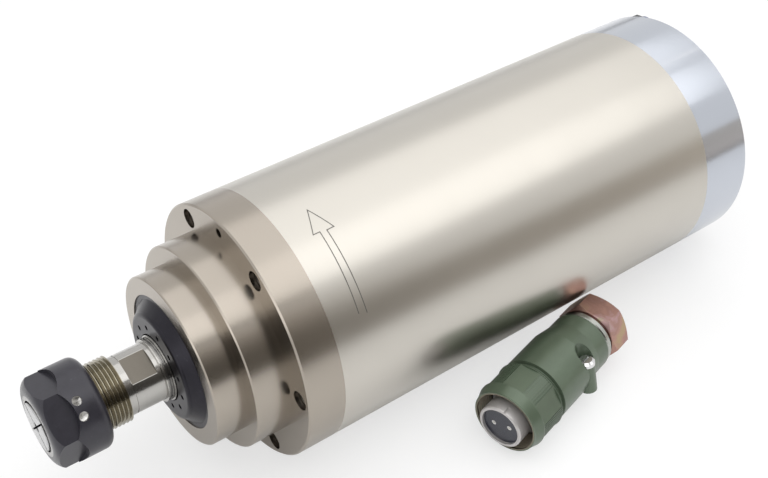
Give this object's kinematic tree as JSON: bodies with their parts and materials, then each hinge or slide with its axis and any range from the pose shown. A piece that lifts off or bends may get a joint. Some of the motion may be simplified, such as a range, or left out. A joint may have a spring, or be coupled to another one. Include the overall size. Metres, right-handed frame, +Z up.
{
  "type": "water-cooled spindle motor",
  "caption": "Round water-cooled milling spindle with stepped nose, collet and nut, water fittings and power socket at the rear, and its loose cable plug.",
  "frame": {"origin": "on the spindle axis, at the middle of the round body", "axes": "+X along the axis from nose to rear, +Z up, +Y to the far side; the spindle lies on its round body, nose towards -X, and its cable plug lies on the -Y side"},
  "size_m": [0.3114, 0.1326, 0.1],
  "materials": {
    "housing_steel": "turned, nickel plated, warm grey",
    "tube_steel": "satin brushed round the axis",
    "cap_aluminium": "fine turned, cool silver",
    "cover_black": "black oxide, satin",
    "shaft_steel": "ground and turned steel",
    "nut_black": "blue-black oxide",
    "collet_steel": "ground steel",
    "bearing_steel": "polished bearing steel",
    "screw_steel": "black oxide screws",
    "lamination": "stacked electrical steel",
    "copper": "varnished copper wire",
    "cast_aluminium": "cast, machined",
    "cage_plastic": "moulded laminate",
    "seal_rubber": "black rubber",
    "lead_sheath": "silicone sleeve",
    "spring_steel": "hardened strip",
    "fitting_metal": "bright nickel plate",
    "fitting_black": "moulded black",
    "release_blue": "moulded dark blue",
    "connector_chrome": "bright chrome",
    "connector_insert": "dark moulded insert",
    "contact_brass": "silver over brass",
    "plug_green": "olive green enamel",
    "washer_zinc": "bright zinc",
    "clamp_zinc": "yellow and rose passivated zinc"
  },
  "bodies": {
    "housing": {"front_housing": "housing_steel", "front_housing_screws": "screw_steel", "dust_cover": "cover_black", "body_tube": "tube_steel", "cooling_jacket": "cast_aluminium", "jacket_seals": "seal_rubber", "port_seals": "seal_rubber", "stator_core": "lamination", "stator_winding": "copper", "motor_leads": "lead_sheath", "front_bearing_outer_rings": "bearing_steel", "front_outer_spacer": "bearing_steel", "rear_bearing_outer_rings": "bearing_steel", "rear_outer_spacer": "bearing_steel", "rear_bearing_carrier": "housing_steel", "preload_spring": "spring_steel", "rear_cap": "cap_aluminium", "rear_cap_screws": "screw_steel", "water_inlet_body": "fitting_black", "water_inlet_guide": "fitting_metal", "water_outlet_body": "fitting_black", "water_outlet_guide": "fitting_metal", "fitting_seals": "seal_rubber", "socket_shell": "connector_chrome", "socket_gasket": "seal_rubber", "socket_insulator": "connector_insert", "socket_pins": "contact_brass", "socket_screws": "washer_zinc"},
    "rotor": {"shaft": "shaft_steel", "rotor_core": "lamination", "rotor_cage": "cast_aluminium", "front_bearing_inner_rings": "bearing_steel", "front_inner_spacer": "bearing_steel", "front_lock_ring": "shaft_steel", "rear_bearing_inner_rings": "bearing_steel", "rear_inner_spacer": "bearing_steel", "rear_lock_ring": "shaft_steel"},
    "front_ball_set": {"front_bearing_balls": "bearing_steel", "front_bearing_cages": "cage_plastic"},
    "rear_ball_set": {"rear_bearing_balls": "bearing_steel", "rear_bearing_cages": "cage_plastic"},
    "collet": {"collet": "collet_steel"},
    "nut": {"collet_nut": "nut_black", "collet_clamp_ring": "nut_black"},
    "inlet_release": {"water_inlet_release_ring": "release_blue"},
    "outlet_release": {"water_outlet_release_ring": "release_blue"},
    "plug": {"plug_ring": "connector_chrome", "plug_insulator": "connector_insert", "plug_contacts": "contact_brass", "plug_shell": "plug_green", "plug_side_screw": "washer_zinc", "plug_washer": "washer_zinc", "plug_clamp_nut": "clamp_zinc", "plug_grommet": "seal_rubber"},
    "plug_coupling": {"plug_coupling_nut": "plug_green"}
  },
  "joints": [
    {"name": "rotor_spin", "type": "hinge", "parent": "housing", "child": "rotor", "pos_m": [0, 0, 0], "axis": [1, 0, 0], "continuous": true},
    {"name": "front_balls_orbit", "type": "hinge", "parent": "housing", "child": "front_ball_set", "pos_m": [-0.1155, 0, 0], "axis": [1, 0, 0], "continuous": true},
    {"name": "rear_balls_orbit", "type": "hinge", "parent": "housing", "child": "rear_ball_set", "pos_m": [0.068, 0, 0], "axis": [1, 0, 0], "continuous": true},
    {"name": "collet_travel", "type": "slide", "parent": "rotor", "child": "collet", "axis": [-1, 0, 0], "range_m": [0, 0.0135]},
    {"name": "nut_turn", "type": "hinge", "parent": "collet", "child": "nut", "pos_m": [-0.175, 0, 0], "axis": [-1, 0, 0], "range_deg": [0, 3245]},
    {"name": "inlet_release_push", "type": "slide", "parent": "housing", "child": "inlet_release", "axis": [-1, 0, 0], "range_m": [0, 0.0012], "stiffness_N_per_m": 1500},
    {"name": "outlet_release_push", "type": "slide", "parent": "housing", "child": "outlet_release", "axis": [-1, 0, 0], "range_m": [0, 0.0012], "stiffness_N_per_m": 1500},
    {"name": "plug_slide", "type": "slide", "parent": "housing", "child": "plug", "axis": [0, -1, 0], "range_m": [0, 0.1]},
    {"name": "plug_coupling_turn", "type": "hinge", "parent": "plug", "child": "plug_coupling", "pos_m": [-0.02779, -0.06706, -0.0353], "axis": [0.9659, 0.2588, 0], "continuous": true}
  ],
  "couplings": [
    {"joint": "front_balls_orbit", "follows": "rotor_spin", "ratio": 0.40475},
    {"joint": "rear_balls_orbit", "follows": "rotor_spin", "ratio": 0.41269},
    {"joint": "nut_turn", "follows": "collet_travel", "rad_per_m": 4188.8}
  ]
}
